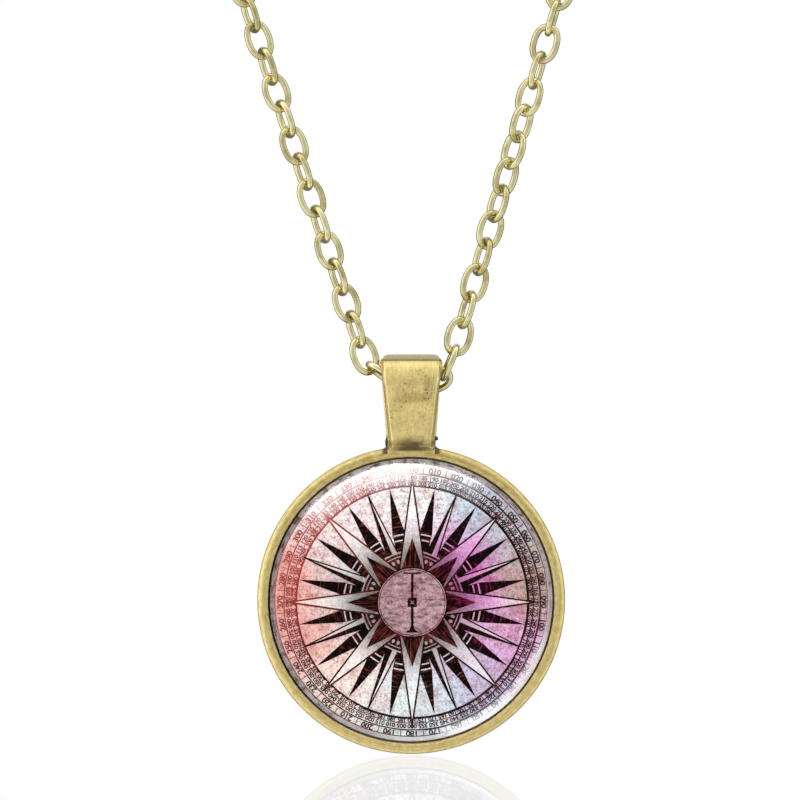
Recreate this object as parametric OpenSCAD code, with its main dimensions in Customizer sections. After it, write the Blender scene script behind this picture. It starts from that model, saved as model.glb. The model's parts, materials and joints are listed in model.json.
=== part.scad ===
// Compass pendant on a cable chain, as it hangs when worn.
// The origin is the middle of the nape. The pendant faces -Y, and +Z is up.

/* [Glass and dial] */
// Diameter of the glass dome
glass_d = 25; // [20:0.5:32]
// Height of the upright edge of the glass
glass_edge = 0.9; // [0.5:0.1:1.5]
// Height of the dome above its upright edge
dome_h = 4.4; // [3:0.1:7]
// Thickness of the printed dial
dial_t = 0.3; // [0.2:0.05:0.6]
// Free ring between the dial's edge and the setting's wall
dial_margin = 0.3; // [0.1:0.05:1]

/* [Setting] */
// Thickness of the setting's floor
floor_t = 0.9; // [0.6:0.1:2]
// Wall of the setting's rim
rim_t = 1.02; // [0.8:0.02:1.6]
// Height of the rim above the floor
rim_h = 2.2; // [1.6:0.1:3]
// Rounding of the setting's outer edges
edge_r = 0.38; // [0.2:0.02:0.44]
// How far the rim's top falls towards the glass
rim_fall = 0.3; // [0.1:0.05:0.6]
// Free space round the glass and under the dial and the glass
fit_gap = 0.08; // [0.04:0.02:0.16]

/* [Bail] */
// Width of the bail at its top
bail_top_w = 5.5; // [4.6:0.1:5.6]
// Width of the bail at its foot
bail_foot_w = 4.3; // [3:0.1:4.4]
// Thickness of the bail's strip
bail_t = 0.52; // [0.4:0.02:0.8]
// Height of the bail above the setting
bail_h = 8.1; // [7:0.1:11]
// Free space between the chain and the inside of the bail
bail_gap = 0.12; // [0.12:0.02:0.6]
// Thickness of the bail's soldered foot, front to back
bail_foot_t = 2; // [1.6:0.1:2.4]
// Rounding of the bail's top corners
bail_corner_r = 0.35; // [0.25:0.05:1]

/* [Chain] */
// Diameter of the chain's round wire
wire_d = 0.54; // [0.44:0.02:0.58]
// Outer length of one link
link_l = 3.66; // [3.6:0.02:3.8]
// Outer width of one link
link_w = 2.62; // [2.4:0.02:2.8]
// Free space between a link's wire and the next
link_gap = 0.12; // [0.1:0.01:0.16]
// Length of the extension chain
extension_l = 50; // [20:5:80]

/* [Clasp and rings] */
// Length of the clasp
clasp_l = 11; // [9:0.5:14]
// Outer diameter of the clasp's hook loop
clasp_d = 5.6; // [5:0.1:7]
// Width of the clasp's bar round its opening
clasp_bar = 1.1; // [0.8:0.1:1.3]
// Thickness of the clasp, front to back
clasp_t = 1.4; // [1:0.1:1.6]
// Outer diameter of the clasp's eye
eye_d = 2.6; // [2.4:0.1:3.2]
// Hole through the clasp's eye
eye_hole_d = 1.4; // [1.3:0.1:1.6]
// Outer diameter of the ring in the clasp's eye
small_ring_d = 4.4; // [4.2:0.1:5.5]
// Outer diameter of the ring at the chain's other end
end_ring_d = 5.8; // [5.4:0.1:7]
// Diameter of the rings' wire
ring_wire_d = 0.7; // [0.5:0.05:0.8]
// Free space between a ring and the clasp's bar
ring_gap = 0.3; // [0.28:0.02:0.4]

/* [Hidden] */

BRASS = [0.75, 0.68, 0.45];
PAPER = [0.86, 0.78, 0.80];
GLASS = [0.80, 0.87, 0.90, 0.6];
ROUND = 96;
WIRE_ROUND = 24;

// Swing axis of the bail: y and z of the line along X that the pendant turns on
AXIS = [0, -78, -164.2];

// The links by the bail, from the left strand through the bail to the right strand:
// place across and up from the swing axis in link spacings, tilt from level, turn about the link
BAIL_LINKS = [
    [-1.68,  0.95, -70, 202],
    [-1.02,  0.28, -35, 102],
    [-0.17, -0.03,  -1, 221],
    [ 0.78,  0.07,  13, 335],
    [ 1.39,  0.70,  67, 445],
    [ 1.72,  1.64,  74, 525]
];
// How many of them hang on the left strand
BAIL_LEFT = 3;

// Chosen points of each strand's way from the bail round the neck towards the nape
LEFT_WAY = [
    [-14.05, -78, -132.2], [-22.4, -78, -107.2], [-31.3, -76.5, -82], [-40.8, -71, -58], [-49, -60, -38],
    [-54.5, -45, -22.5], [-53.5, -29, -12.5], [-45, -14.5, -6], [-31, -4.5, -1.8], [-17, -0.6, -0.2]
];
RIGHT_WAY = [
    [12.45, -78, -132.2], [20, -78, -107.2], [28.7, -76.5, -82], [38.9, -71, -58], [48.6, -60, -38],
    [54.5, -45, -22.5], [53.5, -29, -12.5], [45, -14.5, -6], [31, -4.5, -1.8], [17, -0.6, -0.2]
];

// Twist of each strand: link number from the bail, degrees added to the quarter turn of each link
LEFT_TWIST = [[0, -6], [14, -13]];
RIGHT_TWIST = [[0, -3], [3, -10], [7, -27], [10, -58]];
// Links over which a strand unwinds to lie flat at the nape
UNWIND = 70;

// Oval link: the wire's middle line is two half circles and two straight sides
link_a = (link_l - wire_d) / 2;
end_r = (link_w - wire_d) / 2;
side_l = link_l - link_w;
pitch = link_l - 2 * wire_d - link_gap;
tip_over = link_a - pitch / 2;

setting_in_r = glass_d / 2 + fit_gap;
setting_r = setting_in_r + rim_t;
setting_t = floor_t + rim_h;
floor_y = floor_t + fit_gap;
glass_y = floor_y + dial_t + fit_gap;
dome_r = (pow(glass_d / 2, 2) + pow(dome_h, 2)) / (2 * dome_h);

// The chain in the bail reaches this share of a link's width from the swing axis
chain_reach = 0.68;
bail_hole_r = chain_reach * link_w + bail_gap;
bail_r = bail_hole_r + bail_t;
bail_axis_h = bail_h - bail_r;
bail_drop = bail_axis_h + rim_t / 2;
dial_z = -bail_axis_h - setting_r;
back_y = setting_t / 2;

small_ring_r = (small_ring_d - ring_wire_d) / 2;
end_ring_r = (end_ring_d - ring_wire_d) / 2;
ring_link = (ring_wire_d + wire_d) / 2 + link_gap;
ring_bar = ring_wire_d / 2 + ring_gap;

// The clasp lies along X with its middle over the nape
eye_x = -clasp_l / 2 + eye_d / 2;
hook_x = clasp_l / 2 - clasp_d / 2;
flank_share = 0.95;
small_ring_x = eye_x - eye_hole_d / 2 + ring_bar - small_ring_r;
end_ring_x = hook_x + clasp_d / 2 - clasp_bar - ring_bar + end_ring_r;
left_end = [small_ring_x - small_ring_r + ring_link - tip_over, 0, 0];
right_end = [end_ring_x + end_ring_r - ring_link + tip_over, 0, 0];

function unit(v) = v / norm(v);

// Smooth curve through points, as points of its own, with the way between them as its measure
function slope(p, i) =
    i == 0 ? unit(p[1] - p[0])
    : i == len(p) - 1 ? unit(p[i] - p[i - 1])
    : let (before = norm(p[i] - p[i - 1]), after = norm(p[i + 1] - p[i]))
      ((p[i] - p[i - 1]) * after / before + (p[i + 1] - p[i]) * before / after) / (before + after);
function along(p, i, f) =
    let (d = norm(p[i + 1] - p[i]), m = slope(p, i) * d, n = slope(p, i + 1) * d)
    p[i] * (2 * pow(f, 3) - 3 * pow(f, 2) + 1) + m * (pow(f, 3) - 2 * pow(f, 2) + f)
    + p[i + 1] * (3 * pow(f, 2) - 2 * pow(f, 3)) + n * (pow(f, 3) - pow(f, 2));
function curve(p, steps = 16) =
    [for (i = [0 : len(p) - 2], k = [0 : steps - 1]) along(p, i, k / steps), p[len(p) - 1]];
function lengths(c, i = 1, out = [0]) =
    i == len(c) ? out : lengths(c, i + 1, concat(out, out[i - 1] + norm(c[i] - c[i - 1])));

// Points at even distances along a curve, where one link hands over to the next
function handovers(c) =
    let (
        s = lengths(c), total = s[len(s) - 1], count = ceil(total / pitch),
        x = [for (i = [0 : len(c) - 1]) [s[i], c[i].x]],
        y = [for (i = [0 : len(c) - 1]) [s[i], c[i].y]],
        z = [for (i = [0 : len(c) - 1]) [s[i], c[i].z]]
    )
    [for (k = [0 : count]) let (d = total * k / count) [lookup(d, x), lookup(d, y), lookup(d, z)]];

// Outward from the neck, level: the way that a link faces at no turn
neck_half = [56, 39];
function outward(p) = unit([p.x / pow(neck_half.x, 2), (p.y + neck_half.y) / pow(neck_half.y, 2), 0]);

function bail_link_mid(row) = AXIS + pitch * [row[0], 0, row[1]];
function bail_link_way(row) = [cos(row[2]), 0, sin(row[2])];
first_row = BAIL_LINKS[0];
last_row = BAIL_LINKS[len(BAIL_LINKS) - 1];
left_curve = curve(concat([bail_link_mid(first_row) - bail_link_way(first_row) * pitch / 2], LEFT_WAY, [left_end]));
right_curve = curve(concat([bail_link_mid(last_row) + bail_link_way(last_row) * pitch / 2], RIGHT_WAY, [right_end]));

// One link, upright along Z and facing along Y
module link() {
    for (end = [1, -1])
        translate([0, 0, end * side_l / 2]) rotate([90, 0, 0])
            rotate_extrude(angle = 180, start = 90 - 90 * end, $fn = ROUND)
                translate([end_r, 0]) circle(d = wire_d, $fn = WIRE_ROUND);
    for (side = [1, -1])
        translate([side * end_r, 0, 0]) cylinder(h = side_l, d = wire_d, center = true, $fn = WIRE_ROUND);
}

// A link along the unit vector way, turned about it from facing out
module placed_link(mid, way, out, turn) {
    polar = acos(way.z);
    azimuth = atan2(way.y, way.x);
    face_0 = unit(out - (out * way) * way);
    face = cos(turn) * face_0 + sin(turn) * cross(face_0, way);
    across = [cos(polar) * cos(azimuth), cos(polar) * sin(azimuth), -sin(polar)];
    side = [-sin(azimuth), cos(azimuth), 0];
    translate(mid) rotate([0, polar, azimuth]) rotate(atan2(-(face * across), face * side)) link();
}

module bail_links(from, to) {
    for (i = [from : to])
        placed_link(bail_link_mid(BAIL_LINKS[i]), bail_link_way(BAIL_LINKS[i]), [0, -1, 0], BAIL_LINKS[i][3]);
}

// A strand of links along a curve from the bail, which ends flat at the nape
module strand(way_curve, first_turn, twist) {
    p = handovers(way_curve);
    last = len(p) - 2;
    flat = round((first_turn + 90 * last + lookup(last, twist)) / 180) * 180 - first_turn - 90 * last;
    from = max(0, last - UNWIND);
    for (i = [0 : last]) {
        unwound = max(0, (i - from) / (last - from));
        extra = lookup(i, twist) * (1 - unwound) + flat * unwound;
        mid = (p[i] + p[i + 1]) / 2;
        placed_link(mid, unit(p[i + 1] - p[i]), outward(mid), first_turn + 90 * i + extra);
    }
}

module chain_left() {
    color(BRASS) {
        bail_links(0, BAIL_LEFT - 1);
        strand(left_curve, 90 - first_row[3], LEFT_TWIST);
    }
}

module chain_right() {
    color(BRASS) {
        bail_links(BAIL_LEFT, len(BAIL_LINKS) - 1);
        strand(right_curve, last_row[3] + 90, RIGHT_TWIST);
    }
}

module extender_chain() {
    top = [end_ring_x, end_ring_r, ring_link - link_a + pitch / 2];
    color(BRASS)
        for (i = [0 : floor(extension_l / pitch) - 1])
            placed_link(top - [0, 0, pitch * (i + 0.5)], [0, 0, -1], [1, 0, 0], 90 * i);
}

module ring(r) {
    rotate_extrude($fn = ROUND) translate([r, 0]) circle(d = ring_wire_d, $fn = WIRE_ROUND);
}

module clasp_ring() {
    color(BRASS) translate([small_ring_x, 0, 0]) ring(small_ring_r);
}

module end_ring() {
    color(BRASS) translate([end_ring_x, 0, 0]) ring(end_ring_r);
}

// Hook loop and eye in one flat piece, joined by straight flanks that start just inside both circles
module clasp() {
    eye_half = eye_d / 2 * flank_share;
    hook_half = clasp_d / 2 * flank_share;
    color(BRASS) rotate([90, 0, 0]) linear_extrude(clasp_t, center = true)
        difference() {
            union() {
                translate([hook_x, 0]) circle(d = clasp_d, $fn = ROUND);
                translate([eye_x, 0]) circle(d = eye_d, $fn = ROUND);
                polygon([[eye_x, eye_half], [eye_x, -eye_half], [hook_x, -hook_half], [hook_x, hook_half]]);
            }
            translate([hook_x, 0]) circle(d = clasp_d - 2 * clasp_bar, $fn = ROUND);
            translate([eye_x, 0]) circle(d = eye_hole_d, $fn = ROUND);
        }
}

// Pendant frame: origin on the swing axis, y = 0 in the middle of the setting's depth
module in_pendant() {
    translate(AXIS) children();
}

// Turned shape about the dial's middle, drawn as radius and height over the back
module turned() {
    translate([0, back_y, dial_z]) rotate([90, 0, 0]) rotate_extrude($fn = 2 * ROUND) children();
}

// Side view of the bail's strip or hole: a round top whose sides run straight in to the foot
module teardrop(r, foot_half) {
    touch = atan2(-bail_drop, foot_half) + acos(r / norm([foot_half, bail_drop]));
    circle(r = r, $fn = ROUND);
    polygon([
        [r * cos(touch), r * sin(touch)], [foot_half, -bail_drop],
        [-foot_half, -bail_drop], [-r * cos(touch), r * sin(touch)]
    ]);
}

// Front view of the bail: widest at its rounded top corners
module bail_front() {
    shoulder = bail_r - bail_corner_r;
    polygon([
        [-bail_top_w / 2, shoulder], [-bail_foot_w / 2, -bail_drop],
        [bail_foot_w / 2, -bail_drop], [bail_top_w / 2, shoulder]
    ]);
    translate([-bail_top_w / 2 + bail_corner_r, 0])
        square([bail_top_w - 2 * bail_corner_r, bail_r]);
    for (side = [1, -1])
        translate([side * (bail_top_w / 2 - bail_corner_r), shoulder]) circle(r = bail_corner_r, $fn = ROUND);
}

module bail() {
    intersection() {
        rotate([90, 0, 90]) linear_extrude(bail_top_w, center = true)
            difference() {
                teardrop(bail_r, bail_foot_t / 2);
                teardrop(bail_hole_r, bail_foot_t / 2 - bail_t);
            }
        rotate([90, 0, 0]) linear_extrude(2 * bail_r + bail_t, center = true) bail_front();
    }
}

// Cross-section of the round tray, with rounded outer edges and a top that falls towards the glass
module tray_section() {
    wall_x = setting_r - edge_r;
    square([wall_x, floor_t]);
    translate([wall_x, edge_r]) square([edge_r, setting_t - 2 * edge_r]);
    for (h = [edge_r, setting_t - edge_r])
        translate([wall_x, h]) circle(r = edge_r, $fn = ROUND);
    polygon([
        [setting_in_r, 0], [wall_x, 0], [wall_x, setting_t], [setting_in_r, setting_t - rim_fall]
    ]);
}

module setting() {
    color(BRASS) in_pendant() {
        turned() tray_section();
        bail();
    }
}

module dial() {
    color(PAPER) in_pendant() turned() translate([0, floor_y]) square([setting_in_r - dial_margin, dial_t]);
}

module cabochon() {
    color(GLASS) in_pendant() turned() translate([0, glass_y]) {
        square([glass_d / 2, glass_edge]);
        intersection() {
            translate([0, glass_edge + dome_h - dome_r]) circle(r = dome_r, $fn = 2 * ROUND);
            translate([0, glass_edge]) square([glass_d / 2, dome_h]);
        }
    }
}

chain_left();
chain_right();
extender_chain();
clasp();
clasp_ring();
end_ring();
setting();
dial();
cabochon();
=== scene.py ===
"""Looks of a compass pendant on a cable chain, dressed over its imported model. Sizes are in metres."""

import json
import math

import bmesh
import bpy
import numpy as np
from mathutils import Matrix, Vector


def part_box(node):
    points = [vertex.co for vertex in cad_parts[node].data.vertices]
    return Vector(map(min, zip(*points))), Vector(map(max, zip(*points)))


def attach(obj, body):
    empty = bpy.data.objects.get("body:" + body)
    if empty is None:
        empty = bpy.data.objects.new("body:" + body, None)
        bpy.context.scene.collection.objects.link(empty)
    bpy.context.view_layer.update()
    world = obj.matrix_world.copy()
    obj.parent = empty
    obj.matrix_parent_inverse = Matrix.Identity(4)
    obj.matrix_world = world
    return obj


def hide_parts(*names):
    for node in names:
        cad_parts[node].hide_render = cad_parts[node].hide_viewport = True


bl_info = {
    "name": "Compass pendant necklace",
    "version": (1, 0, 0),
    "blender": (4, 5, 0),
    "location": "3D View > Sidebar > Pendant",
    "description": "Builds the chain, setting, printed dial and glass dome of a compass pendant",
    "category": "Object",
}

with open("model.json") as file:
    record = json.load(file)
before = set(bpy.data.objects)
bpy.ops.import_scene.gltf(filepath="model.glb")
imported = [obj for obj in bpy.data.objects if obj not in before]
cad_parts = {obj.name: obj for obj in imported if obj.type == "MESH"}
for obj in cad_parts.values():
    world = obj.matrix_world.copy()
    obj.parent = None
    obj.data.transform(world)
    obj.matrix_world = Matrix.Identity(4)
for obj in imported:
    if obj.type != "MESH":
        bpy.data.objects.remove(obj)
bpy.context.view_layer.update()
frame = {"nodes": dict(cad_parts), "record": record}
MM = 0.001
# The photo's scale: one pixel of it is one unit of the drawing on the dial
PIXELS_PER_MM = 11.3


def joint(name):
    """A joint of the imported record."""
    return next(j for j in frame["record"]["behaviour"]["joints"] if j["name"] == name)


def mount(name):
    """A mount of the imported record."""
    return next(m for m in frame["record"]["mounts"] if m["name"] == name)


# Places of the pendant, read from the frame
SWING = Vector(joint("pendant_swing")["pos_m"])
SETTING_LOW, SETTING_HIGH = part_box("setting")
GLASS_LOW, GLASS_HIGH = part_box("cabochon")
TRAY_R = (SETTING_HIGH.x - SETTING_LOW.x) / 2
DIAL_MID = Vector((0, 0, SETTING_LOW.z + TRAY_R))
TRAY_BACK = mount("pendant_back")["pos_m"][1]
GLASS_R = (GLASS_HIGH.x - GLASS_LOW.x) / 2
# Height of the dome's straight edge
GLASS_EDGE = 0.9 * MM
PAPER_MID = DIAL_MID + Vector((0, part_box("dial")[0].y, 0))
# The rose is printed a little off the disc's middle, to the right and down
ROSE_MID = PAPER_MID + Vector((0.08 * MM, 0, -0.18 * MM))


# Sizes and colours that a user would change

def length(name, description, default):
    """A length property, given in millimetres."""
    return bpy.props.FloatProperty(
        name=name, description=description, default=default * MM, min=0, unit="LENGTH", precision=5
    )


def colour(name, description, default):
    """A colour property, given as the 0 to 255 values that a screen shows."""
    return bpy.props.FloatVectorProperty(
        name=name, description=description, subtype="COLOR", size=3, min=0, max=1, default=screen(*default)
    )


def screen(*values):
    """Linear colour of 0 to 255 screen values."""
    shares = [v / 255 for v in values]
    return tuple(s / 12.92 if s <= 0.04045 else ((s + 0.055) / 1.055) ** 2.4 for s in shares)


class ChainSizes(bpy.types.PropertyGroup):
    """The cable chain's links."""

    wire: length("Wire", "Diameter of the links' wire", 0.59)
    link_length: length("Link length", "Outer length of a link", 3.66)
    link_width: length("Link width", "Outer width of a link", 2.62)
    spacing: length("Spacing", "From one link to the next", 2.46)
    seat: length("Seat", "Middle line of a ring's wire to the start of a link's step", 0.41)
    fullness: bpy.props.FloatProperty(
        name="Fullness", description="2 is an ellipse, more is squarer", default=2.25, min=1.5, max=4
    )
    segments: bpy.props.IntProperty(name="Segments", description="Steps round a link", default=28, min=12)
    sides: bpy.props.IntProperty(name="Sides", description="Sides of the wire", default=8, min=5)


class SettingSizes(bpy.types.PropertyGroup):
    """The tray and its bail."""

    floor: length("Floor", "Thickness of the tray's floor", 0.9)
    wall: length("Wall", "Thickness of the rim's wall", 1.02)
    depth: length("Depth", "Whole depth of the tray", 2.75)
    edge: length("Edge", "Rounding of the tray's outer edges", 0.38)
    strip: length("Strip", "Thickness of the bail's strip", 0.52)
    top_width: length("Top width", "Width of the bail at its top", 5.5)
    back_width: length("Back foot width", "Width of the bail's back leg at its foot", 4.3)
    front_width: length("Front foot width", "Width of the bail's front leg at its foot", 3.85)
    foot: length("Foot", "Thickness of the bail's soldered foot, front to back", 2.0)
    corner: length("Corner", "Rounding of the bail's top corners", 0.35)
    bevel: length("Bevel", "Width of the bail's bevelled side edges", 0.34)
    solder: length("Solder", "Rounding of the solder where the bail meets the rim", 0.34)


class DialSizes(bpy.types.PropertyGroup):
    """The printed compass rose, measured as it is seen through the dome."""

    pixel: bpy.props.FloatProperty(
        name="Drawing unit", description="Seen size of one unit of the drawing",
        default=MM / PIXELS_PER_MM, precision=7,
    )
    layer: length("Layer", "Height of one printed layer", 0.01)
    index: bpy.props.FloatProperty(name="Index", description="Refractive index of the dome", default=1.5)
    number_step: bpy.props.IntProperty(
        name="Number step", description="Degrees between numbers", default=5, min=1
    )


class Finishes(bpy.types.PropertyGroup):
    """Colours of the materials."""

    brass: colour("Setting brass", "Polished brass of the setting", (241, 221, 151))
    tarnish: colour("Setting tarnish", "Darkened brass in the setting's hollows", (162, 140, 79))
    # Also the colour of the painted shade in the crease at the bail's foot and of the dark line of painted
    # shade along its top edge
    solder: colour("Solder shade", "Darkest brass, in pits and at the solder", (100, 84, 58))
    chain: colour("Chain brass", "Polished brass of the chain", (242, 233, 178))
    chain_tarnish: colour("Chain tarnish", "Darkened brass of the chain", (196, 184, 122))
    ink: colour("Ink", "Darkest printing ink", (9, 3, 2))
    rust: colour("Rust", "Shade that the paper takes between the strokes of ink", (132, 58, 48))
    # Colour of the painted shade on the rim's inner wall, in the gap between the dome and the rim
    gap: colour("Gap", "Grime in the gap between the dome and the rim", (34, 26, 16))
    red: colour("Red", "Ink that is worn to red", (164, 52, 46))
    glass: colour("Glass", "Tint of the dome", (250, 252, 252))


# Node trees

class Socket:
    """An output of a node, with arithmetic that adds Math nodes to its tree."""

    def __init__(self, graph, socket):
        self.graph = graph
        self.socket = socket

    def __add__(self, other):
        return self.graph.math("ADD", self, other)

    def __sub__(self, other):
        return self.graph.math("SUBTRACT", self, other)

    def __rsub__(self, other):
        return self.graph.math("SUBTRACT", other, self)

    def __mul__(self, other):
        return self.graph.math("MULTIPLY", self, other)

    def __truediv__(self, other):
        return self.graph.math("DIVIDE", self, other)

    def __rtruediv__(self, other):
        return self.graph.math("DIVIDE", other, self)

    def __pow__(self, other):
        return self.graph.math("POWER", self, other)

    __radd__ = __add__
    __rmul__ = __mul__


class Graph:
    """A node tree that is written as expressions."""

    def __init__(self, tree):
        self.tree = tree

    def feed(self, socket, value):
        if isinstance(value, Socket):
            self.tree.links.new(value.socket, socket)
        else:
            socket.default_value = value

    def node(self, kind, settings=None, values=None, out=0):
        """Adds a node: its settings first, then its sockets by name or number."""
        made = self.tree.nodes.new(kind)
        for key, value in (settings or {}).items():
            if key == "stops":
                while len(made.color_ramp.elements) < len(value):
                    made.color_ramp.elements.new(1)
                for stop, (place, tone) in zip(made.color_ramp.elements, value):
                    stop.position = place
                    stop.color = (*tone, 1)
            else:
                setattr(made, key, value)
        for key, value in (values or {}).items():
            self.feed(made.inputs[key], value)
        return Socket(self, made.outputs[out])

    def math(self, operation, a, b=0.0):
        return self.node("ShaderNodeMath", {"operation": operation}, {0: a, 1: b})

    def vector(self, operation, a, b=(0, 0, 0), out=0):
        return self.node("ShaderNodeVectorMath", {"operation": operation}, {0: a, 1: b}, out)

    def scaled(self, a, factor):
        return self.node("ShaderNodeVectorMath", {"operation": "SCALE"}, {0: a, "Scale": factor})

    def smooth(self, value, low, high):
        """0 below low, 1 above high and a smooth step between."""
        steps = {"interpolation_type": "SMOOTHSTEP"}
        return self.node("ShaderNodeMapRange", steps, {0: value, 1: low, 2: high, 3: 0.0, 4: 1.0})

    def band(self, value, low, high, soft_low, soft_high):
        """1 between two values and 0 outside them, with edges that are this soft."""
        ended = self.smooth(value, high - soft_high, high + soft_high)
        return self.smooth(value, low - soft_low, low + soft_low) * (1 - ended)

    def mix(self, factor, a, b, blend="MIX"):
        kinds = {"data_type": "RGBA", "blend_type": blend}
        paints = {6: a if isinstance(a, Socket) else (*a, 1), 7: b if isinstance(b, Socket) else (*b, 1)}
        return self.node("ShaderNodeMix", kinds, {0: factor, **paints}, 2)

    def stain(self, factor, tone, *values):
        """A tone multiplied by a colour of 0 to 255 screen values, as much as the factor says."""
        return self.mix(factor, tone, screen(*values), "MULTIPLY")

    def noise(self, place, scale, detail=2.0, rough=0.5, out="Fac"):
        values = {"Vector": place, "Scale": scale, "Detail": detail, "Roughness": rough}
        return self.node("ShaderNodeTexNoise", {}, values, out)

    def stretched(self, place, factors):
        """A place with its coordinates scaled one by one, for stretched noise."""
        return self.vector("MULTIPLY", place, factors)

    def split(self, vector, axis):
        return self.node("ShaderNodeSeparateXYZ", {}, {0: vector}, axis)

    def join(self, x, y, z):
        return self.node("ShaderNodeCombineXYZ", {}, {0: x, 1: y, 2: z})


def shaded(name):
    """A new material with its graph, its shader and its place in millimetres from the dial's middle."""
    material = bpy.data.materials.new(name)
    material.use_nodes = True
    graph = Graph(material.node_tree)
    shader = material.node_tree.nodes["Principled BSDF"]
    local = graph.node("ShaderNodeTexCoord", {}, {}, "Object")
    place = graph.scaled(graph.vector("SUBTRACT", local, tuple(DIAL_MID)), 1 / MM)
    return material, graph, shader, place


def set_bump(graph, shader, height, strength, distance):
    """Feeds the shader a bump of this height."""
    values = {"Height": height, "Strength": strength, "Distance": distance}
    bump = graph.node("ShaderNodeBump", {}, values, "Normal")
    graph.feed(shader.inputs["Normal"], bump)


def chain_brass(finishes):
    """Smooth polished brass wire, slightly darker in patches."""
    material, graph, shader, place = shaded("chain_brass")
    patches = graph.noise(place, 0.55, 3.0, 0.55)
    grain = graph.noise(place, 6.0, 2.0)
    bright = graph.smooth(patches * 0.8 + grain * 0.2, 0.36, 0.56)
    tone = graph.mix(bright, tuple(finishes.chain_tarnish), tuple(finishes.chain))
    graph.feed(shader.inputs["Base Color"], tone)
    graph.feed(shader.inputs["Roughness"], 0.26 - bright * 0.06)
    shader.inputs["Metallic"].default_value = 1.0
    shader.inputs["Coat Weight"].default_value = 0.6
    shader.inputs["Coat Roughness"].default_value = 0.12
    set_bump(graph, shader, patches, 0.25, 0.03 * MM)
    return material


# Places on the bail's front that are darker or pitted: across and up from the dial's middle,
# half width and half height in millimetres, how dark, and how pitted
BAIL_MARKS = [
    (0.1, 17.9, 1.9, 0.7, 0.45, 0.0),
    (-1.35, 17.1, 0.75, 0.75, 0.2, 1.0),
    (-0.35, 18.9, 0.85, 0.45, 0.1, 1.0),
    (1.5, 18.6, 0.5, 1.7, 0.25, 1.0),
    (0.9, 20.0, 0.7, 0.5, 0.0, 0.7),
    (-1.1, 18.6, 0.7, 0.5, 0.25, 0.0),
    (-1.7, 15.9, 0.3, 1.0, 0.1, 0.7),
    (1.2, 16.3, 0.5, 0.6, 0.1, 0.3),
]
# Painted shade in the crease where the bail's foot meets the rim, over its solder, as across, up, half width
# and half height
FOOT_CREASE_SHADE = (0.0, 12.9, 2.25, 1.85)
# Heights between which the rim gives way to the bail's foot and to its grainy front, and the bail's top
# edge, with a dark line of painted shade along it and a pale band of painted reflection above it
FOOT_Z = (13.05, 13.3)
BAIL_Z = (13.9, 14.3)
TOP_PAINTED_LIGHT_Z = 21.2
# Burnt solder on both sides of the bail's foot: least distance across, and least and most height
BURNT = (2.02, 12.8, 14.6)
# How much wider each side of the bail grows with height, and where its bevels start over that; the bevels
# are lightened, a painted highlight
BAIL_TAPER = 0.1065
BEVEL_HIGHLIGHT_FROM = (0.09, 0.24)
# Distances over the tray's back between which its floor ends, and distances to the left over which the
# painted shade on the rim's inner wall deepens
FLOOR_TOP = (0.3, 0.6)
WALL_SHADE_LEFT_FROM = (8.5, 11.0)

# Ways on the dial's face, as shares of across and up
UPPER_LEFT = (-0.82, 0.57)
LOWER_RIGHT = (0.57, -0.82)
RIGHT = (1.0, 0.35)


def spot(graph, place, across, up, half_across, half_up):
    """1 in the middle of an oval and 0 at its edge and beyond."""
    moved = graph.vector("SUBTRACT", place, (across, 0, up))
    share = graph.vector("LENGTH", graph.stretched(moved, (1 / half_across, 0, 1 / half_up)), out="Value")
    return 1 - graph.smooth(share, 0.35, 1.1)


def towards(graph, place, way):
    """How far a place lies from the dial's middle in a way on its face, in millimetres."""
    return graph.split(place, "X") * way[0] + graph.split(place, "Z") * way[1]


def radius_of(graph, place):
    """Distance from the dial's axis, in millimetres."""
    return graph.vector("LENGTH", graph.stretched(place, (1, 0, 1)), out="Value")


def polar_place(graph, place, round_scale, out_scale):
    """Coordinates that run round the dial and out from its middle, for streaks and bars."""
    across, up = graph.split(place, "X"), graph.split(place, "Z")
    turn = graph.math("ARCTAN2", across, up)
    return graph.join(turn * round_scale, 0.0, radius_of(graph, place) * out_scale)


def bail_marks(graph, ragged):
    """How dark and how pitted the bail's front is."""
    dark, pitted = 0.0, 0.0
    for across, up, half_across, half_up, darkness, pits in BAIL_MARKS:
        share = spot(graph, ragged, across, up, half_across, half_up)
        dark = share * darkness + dark
        pitted = share * pits + pitted
    return dark, graph.math("MINIMUM", pitted, 1.0)


def burnt_solder(graph, sideways, height):
    """1 on the burnt solder on both sides of the bail's foot."""
    beside, lowest, highest = BURNT
    share = graph.smooth(sideways, beside, beside + 0.12)
    share = share * graph.smooth(sideways, beside + 0.75, beside + 0.35)
    return share * graph.smooth(height, lowest, lowest + 0.2) * graph.smooth(height, highest, highest - 0.2)


def inner_wall(graph, place, wall_r):
    """1 on the rim's inner wall, with a ragged edge."""
    ragged = graph.noise(polar_place(graph, place, 12.0, 0.4), 2.2, 3.0, 0.6) * 0.16
    inside = graph.smooth(radius_of(graph, place) - ragged, wall_r + 0.03, wall_r - 0.03)
    return inside * graph.smooth(TRAY_BACK / MM - graph.split(place, "Y"), *FLOOR_TOP)


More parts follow.
